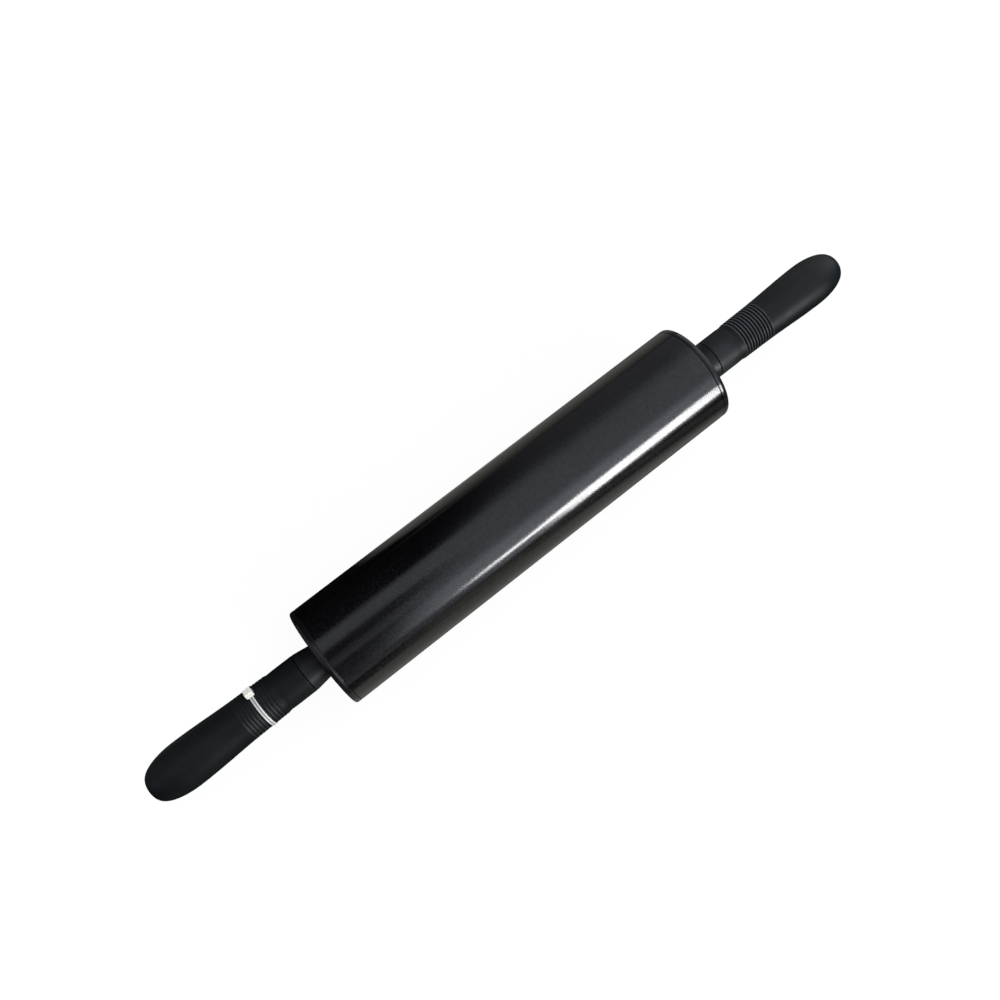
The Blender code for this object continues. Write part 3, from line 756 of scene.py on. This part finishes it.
def floor_material():
    """A nearly white floor with a soft contact shadow, and grey glowing levels that only the pin mirrors,
    with a painted shadow by the pin.
    """
    made = bpy.data.materials.new("studio_floor")
    made.use_nodes = True
    nodes, links = made.node_tree.nodes, made.node_tree.links
    nodes.clear()
    out = nodes.new("ShaderNodeOutputMaterial")
    path = nodes.new("ShaderNodeLightPath")
    glow = nodes.new("ShaderNodeEmission")
    glow.inputs["Color"].default_value = (1.0, 1.0, 1.0, 1.0)
    glow.inputs["Strength"].default_value = 0.93
    matt = nodes.new("ShaderNodeBsdfDiffuse")
    matt.inputs["Color"].default_value = (0.09, 0.09, 0.09, 1.0)
    both = nodes.new("ShaderNodeAddShader")
    links.new(glow.outputs[0], both.inputs[0])
    links.new(matt.outputs[0], both.inputs[1])
    place = nodes.new("ShaderNodeTexCoord")
    split = nodes.new("ShaderNodeSeparateXYZ")
    links.new(place.outputs["Object"], split.inputs[0])
    x, y = split.outputs["X"], split.outputs["Y"]

    def levels(value, *stops, reach=0.4, tint=(1.0, 1.0, 1.0)):
        """A grey level against a distance in metres, from -reach to reach."""
        spread = nodes.new("ShaderNodeMapRange")
        spread.inputs["From Min"].default_value = -reach
        spread.inputs["From Max"].default_value = reach
        links.new(value, spread.inputs["Value"])
        ramp = nodes.new("ShaderNodeValToRGB")
        elements = ramp.color_ramp.elements
        while len(elements) > 1:
            elements.remove(elements[-1])
        for i, (distance, level) in enumerate(stops):
            at = 0.5 + 0.5 * distance / reach
            element = elements[0] if i == 0 else elements.new(at)
            element.position = at
            element.color = (level * tint[0], level * tint[1], level * tint[2], 1.0)
        links.new(spread.outputs["Result"], ramp.inputs["Fac"])
        return ramp.outputs["Color"]

    def slide(value, factor, start):
        """value x factor + start."""
        node = nodes.new("ShaderNodeMath")
        node.operation = "MULTIPLY_ADD"
        links.new(value, node.inputs[0])
        node.inputs[1].default_value = factor
        links.new(start, node.inputs[2])
        return node.outputs[0]

    def blend(factor, a, b, kind="MIX"):
        """Two greys mixed by a factor, which is 1 where none is given, as is a grey that isn't given."""
        node = nodes.new("ShaderNodeMix")
        node.data_type = "RGBA"
        node.blend_type = kind
        node.inputs[0].default_value = 1.0
        for socket, value in ((node.inputs[0], factor), (node.inputs[6], a), (node.inputs[7], b)):
            if value is not None:
                links.new(value, socket)
            elif socket != node.inputs[0]:
                socket.default_value = (1.0, 1.0, 1.0, 1.0)
        return node.outputs[2]

    # the mirrored glow, darkest right under and beside the pin as a painted contact shadow
    across = levels(
        y,
        (-0.36, 0.42), (-0.28, 0.48), (-0.17, 0.42), (-0.118, 0.50), (-0.09, 0.50), (-0.06, 0.44),
        (-0.045, 0.37), (-0.036, 0.29), (-0.030, 0.22), (-0.026, 0.12), (-0.01, 0.06), (0.03, 0.18),
        (0.038, 0.32), (0.046, 0.38), (0.056, 0.30), (0.06, 0.29), (0.07, 0.29), (0.09, 0.36),
        (0.15, 0.36), (0.27, 0.31), (0.38, 0.20),
        tint=(1.03, 1.01, 0.94),
    )
    # behind the pin, the left is dark, and the dark reaches further right further back
    shifted = slide(levels(y, (0.10, 0.0), (0.30, 1.0)), -0.075, x)
    left = levels(shifted, (-0.085, 0.02), (-0.055, 0.9), (-0.03, 1.0))
    # further left it is paler again
    outer = levels(x, (-0.225, 0.50), (-0.19, 0.42), (-0.155, 0.0))
    outer = blend(None, levels(y, (0.10, 1.0), (0.30, 0.0)), outer, "MULTIPLY")
    left = blend(None, left, outer, "ADD")
    # next to the barrel, painted shade that is darker away from its middle
    close_shade = levels(y, (-0.044, 0.0), (-0.032, 1.0), (0.052, 1.0), (0.068, 0.0))
    close_shade_side = levels(
        x,
        (-0.06, 0.78), (-0.03, 0.82), (0.0, 1.0), (0.03, 1.0), (0.06, 0.74), (0.09, 0.54), (0.14, 0.49),
    )
    # in front, it is darker past both ends and uneven further off
    beside = levels(x, (-0.16, 0.25), (-0.13, 1.0), (0.165, 1.0), (0.205, 0.14))
    far = levels(y, (-0.16, 1.0), (-0.118, 0.0))
    far_side = levels(
        x,
        (-0.125, 0.2), (-0.095, 0.42), (-0.06, 0.9), (-0.04, 1.0), (-0.01, 1.0), (0.025, 0.67),
        (0.06, 0.75), (0.09, 1.0),
    )
    # a dark streak that slants away to the right
    streak = levels(
        slide(x, -0.75, y),
        (-0.30, 0.57), (-0.24, 0.52), (-0.22, 0.27), (-0.183, 0.22), (-0.17, 0.58), (-0.15, 0.78),
        (-0.135, 1.0),
        reach=0.6,
    )
    streaked = blend(levels(x, (0.03, 0.0), (0.065, 1.0)), None, streak)
    front = blend(None, blend(None, beside, streaked, "MULTIPLY"), blend(far, None, far_side), "MULTIPLY")
    behind = levels(y, (0.0, 0.0), (0.03, 1.0))
    shade = blend(None, blend(behind, front, left), blend(close_shade, None, close_shade_side), "MULTIPLY")
    grey = nodes.new("ShaderNodeEmission")
    links.new(blend(None, across, shade, "MULTIPLY"), grey.inputs["Color"])
    pick = nodes.new("ShaderNodeMixShader")
    links.new(path.outputs["Is Camera Ray"], pick.inputs[0])
    links.new(grey.outputs[0], pick.inputs[1])
    links.new(both.outputs[0], pick.inputs[2])
    links.new(pick.outputs[0], out.inputs["Surface"])
    return made


def studio_world():
    """A room in soft bands round the pin's axis: bright above and in front, dim behind and on the left."""
    world = bpy.data.worlds.new("studio")
    scene.world = world
    world.use_nodes = True
    nodes, links = world.node_tree.nodes, world.node_tree.links
    nodes.clear()
    out = nodes.new("ShaderNodeOutputWorld")
    back = nodes.new("ShaderNodeBackground")
    plain = nodes.new("ShaderNodeBackground")
    plain.inputs["Color"].default_value = (1.0, 1.0, 1.0, 1.0)
    pick = nodes.new("ShaderNodeMixShader")
    path = nodes.new("ShaderNodeLightPath")
    place = nodes.new("ShaderNodeTexCoord")
    split = nodes.new("ShaderNodeSeparateXYZ")
    links.new(place.outputs["Generated"], split.inputs[0])

    def calc(operation, a, b):
        node = nodes.new("ShaderNodeMath")
        node.operation = operation
        for i, value in enumerate((a, b)):
            if isinstance(value, (int, float)):
                node.inputs[i].default_value = value
            else:
                links.new(value, node.inputs[i])
        return node.outputs[0]

    def span(value, low, high):
        node = nodes.new("ShaderNodeMapRange")
        node.interpolation_type = "SMOOTHSTEP"
        node.inputs["From Min"].default_value = low
        node.inputs["From Max"].default_value = high
        links.new(value, node.inputs["Value"])
        return node.outputs["Result"]

    def bands(full, *stops, tint=(1.0, 1.0, 1.0)):
        """A level against the angle round the pin: -90 is the back horizon, 0 straight up, 90 the front."""
        ramp = nodes.new("ShaderNodeValToRGB")
        elements = ramp.color_ramp.elements
        while len(elements) > 1:
            elements.remove(elements[-1])
        for i, (angle, level) in enumerate(stops):
            at = angle / 360 + 0.5
            element = elements[0] if i == 0 else elements.new(at)
            element.position = at
            element.color = (*(level / full * share for share in tint), 1.0)
        links.new(turn, ramp.inputs["Fac"])
        return ramp.outputs["Color"]

    x, y, z = split.outputs["X"], split.outputs["Y"], split.outputs["Z"]
    ahead = calc("MULTIPLY", y, -1.0)
    turn = calc("ADD", calc("DIVIDE", calc("ARCTAN2", ahead, z), math.tau), 0.5)
    cool = (0.955, 0.985, 1.10)
    strength = 4.0
    lit = bands(
        strength,
        (-92, 0.30), (-60, 0.36), (-44, 0.40), (-30, 0.70), (-18, 0.96), (20, 1.08), (28, 1.06), (36, 1.20),
        (42, 1.65), (50, 2.45), (66, 2.45), (80, 1.6), (88, 1.6), (92, 1.5),
        tint=cool,
    )
    dim = bands(
        strength,
        (-92, 0.01), (-30, 0.04), (-24, 0.60), (-18, 0.90), (-3, 0.85), (6, 0.10), (18, 0.07), (24, 0.34),
        (35, 0.50), (41, 0.05), (60, 0.12), (75, 0.20), (84, 0.45), (92, 0.45),
        tint=cool,
    )
    # what only the grips mirror, past the ends of what the barrel does
    end_left = bands(
        strength,
        (-92, 0.34), (-76, 0.42), (-50, 0.42), (-30, 0.58), (0, 0.60), (20, 0.45), (40, 0.05), (92, 0.03),
        tint=cool,
    )
    end_right = bands(
        strength,
        (-92, 1.3), (-50, 1.6), (-20, 2.1), (10, 2.1), (28, 1.8), (42, 1.5), (54, 0.8), (66, 0.2),
        (92, 0.05),
        tint=cool,
    )
    # how far to the right the dark end reaches, as the direction's X, from -0.1 to 0.3
    edge_low, edge_range = -0.1, 0.4
    edge = bands(
        edge_range,
        (-100, 0.26), (-92, 0.28), (-60, 0.27), (-44, 0.24), (-28, 0.20), (-18, 0.10), (0, 0.10), (8, 0.145),
        (20, 0.145), (30, 0.11), (44, 0.115), (60, 0.105), (75, 0.085), (82, 0.17), (92, 0.21),
    )
    # how wide its edge is, from 0 to 0.1
    widest = 0.1
    width = bands(
        widest,
        (-92, 0.095), (-55, 0.095), (-36, 0.055), (-24, 0.045), (75, 0.045), (84, 0.09), (92, 0.095),
    )
    offset = calc("SUBTRACT", calc("ADD", x, -edge_low), calc("MULTIPLY", edge, edge_range))
    side = span(calc("DIVIDE", offset, calc("MULTIPLY", width, widest)), -1.0, 1.0)

    def blend(factor, a, b):
        node = nodes.new("ShaderNodeMix")
        node.data_type = "RGBA"
        links.new(factor, node.inputs[0])
        links.new(a, node.inputs[6])
        links.new(b, node.inputs[7])
        return node.outputs[2]

    barrel_part = blend(side, dim, lit)
    with_right = blend(span(x, 0.385, 0.44), barrel_part, end_right)
    links.new(blend(span(x, -0.205, -0.145), end_left, with_right), back.inputs["Color"])
    back.inputs["Strength"].default_value = strength
    links.new(path.outputs["Is Camera Ray"], pick.inputs[0])
    links.new(back.outputs[0], pick.inputs[1])
    links.new(plain.outputs[0], pick.inputs[2])
    links.new(pick.outputs[0], out.inputs["Surface"])


def area_light(name, place, size, energy):
    """A rectangular light that faces the pin's middle."""
    data = bpy.data.lights.new(name, "AREA")
    data.shape = "RECTANGLE"
    data.size, data.size_y = size
    data.energy = energy
    obj = link(bpy.data.objects.new(name, data))
    obj.location = place
    obj.rotation_euler = (-Vector(place)).to_track_quat("-Z", "Y").to_euler()
    obj.visible_camera = False


FLOOR_HALF = 9.0
floor_mesh = bpy.data.meshes.new("floor")
floor_mesh.from_pydata(
    [(x * FLOOR_HALF, y * FLOOR_HALF, floor_height) for x, y in ((-1, -1), (1, -1), (1, 1), (-1, 1))],
    [],
    [(0, 1, 2, 3)],
)
floor = link(bpy.data.objects.new("floor", floor_mesh))
floor_mesh.materials.append(floor_material())

studio_world()
area_light("window_light", (0.530, -1.50, 0.382), (0.448, 0.485), 17.0)
area_light("window_end_light", (0.205, -1.52, 0.455), (0.24, 0.155), 2.85)

# The camera, from a fit to the pin's photographed outline
CAMERA_PLACE = (-0.0789, -0.08725, 0.50359)
CAMERA_TILT = math.radians(13.73)
CAMERA_TURN = math.radians(-38.35)
CAMERA_LENS = 35.15
camera_data = bpy.data.cameras.new("camera")
camera_data.lens = CAMERA_LENS
camera_data.sensor_width = 36.0
camera_data.clip_start = 0.01
camera = link(bpy.data.objects.new("camera", camera_data))
camera.location = CAMERA_PLACE
camera.rotation_euler = (CAMERA_TILT, 0.0, CAMERA_TURN)
scene.camera = camera
